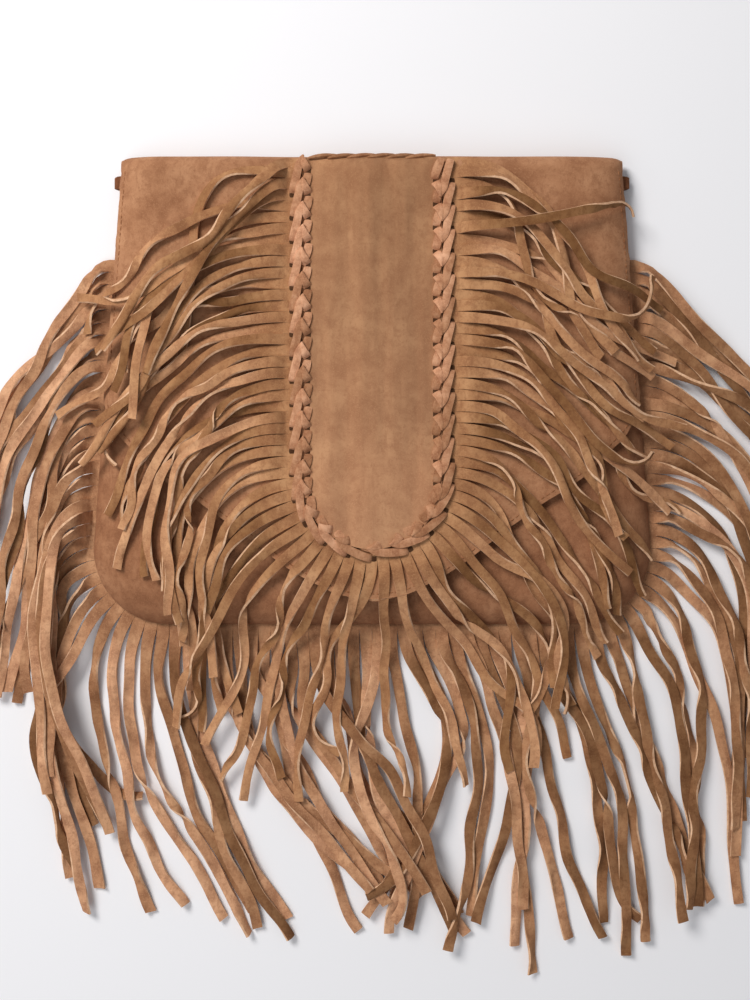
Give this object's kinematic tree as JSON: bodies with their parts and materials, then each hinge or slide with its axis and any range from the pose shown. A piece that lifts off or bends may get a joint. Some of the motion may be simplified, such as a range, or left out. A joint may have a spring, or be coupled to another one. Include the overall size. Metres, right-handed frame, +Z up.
{
  "type": "fringed suede bag",
  "caption": "Flat suede shoulder bag body lying on its back, with a fold-over flap, a plait-laced U-shaped centre panel, and long cut fringes along the panel and the body seam.",
  "frame": {"origin": "on the underside of the back, in the middle of the body, where the bag lies on a surface", "axes": "+X across the bag, +Y towards the fold of the flap, +Z up out of the flap, away from the surface it lies on"},
  "size_m": [0.5269, 0.4303, 0.0327],
  "materials": {
    "suede_tan": "napped suede, matt",
    "suede_light": "fine napped suede, matt",
    "suede_fringe": "napped suede with paler cut edges, matt",
    "suede_dark": "napped suede with paler cut edges, matt",
    "lace": "smooth pinkish tan thong, matt",
    "lining_cloth": "plain woven cotton",
    "snap_metal": "brushed, slightly dull"
  },
  "bodies": {
    "root": {"back_and_flap": "suede_tan", "front_panel": "suede_tan", "tab_left": "suede_tan", "tab_right": "suede_tan", "centre_panel": "suede_light", "flap_fringe_left": "suede_fringe", "flap_fringe_right": "suede_fringe", "outer_fringe_left": "suede_dark", "outer_fringe_bottom": "suede_dark", "outer_fringe_right": "suede_dark", "braid_left": "lace", "braid_right": "lace", "top_edge_lace": "lace", "lining_back": "lining_cloth", "lining_front": "lining_cloth", "flap_lining": "lining_cloth", "snap_socket": "snap_metal", "snap_stud": "snap_metal", "snap_washer_front": "snap_metal", "snap_washer_flap": "snap_metal"}
  },
  "joints": []
}
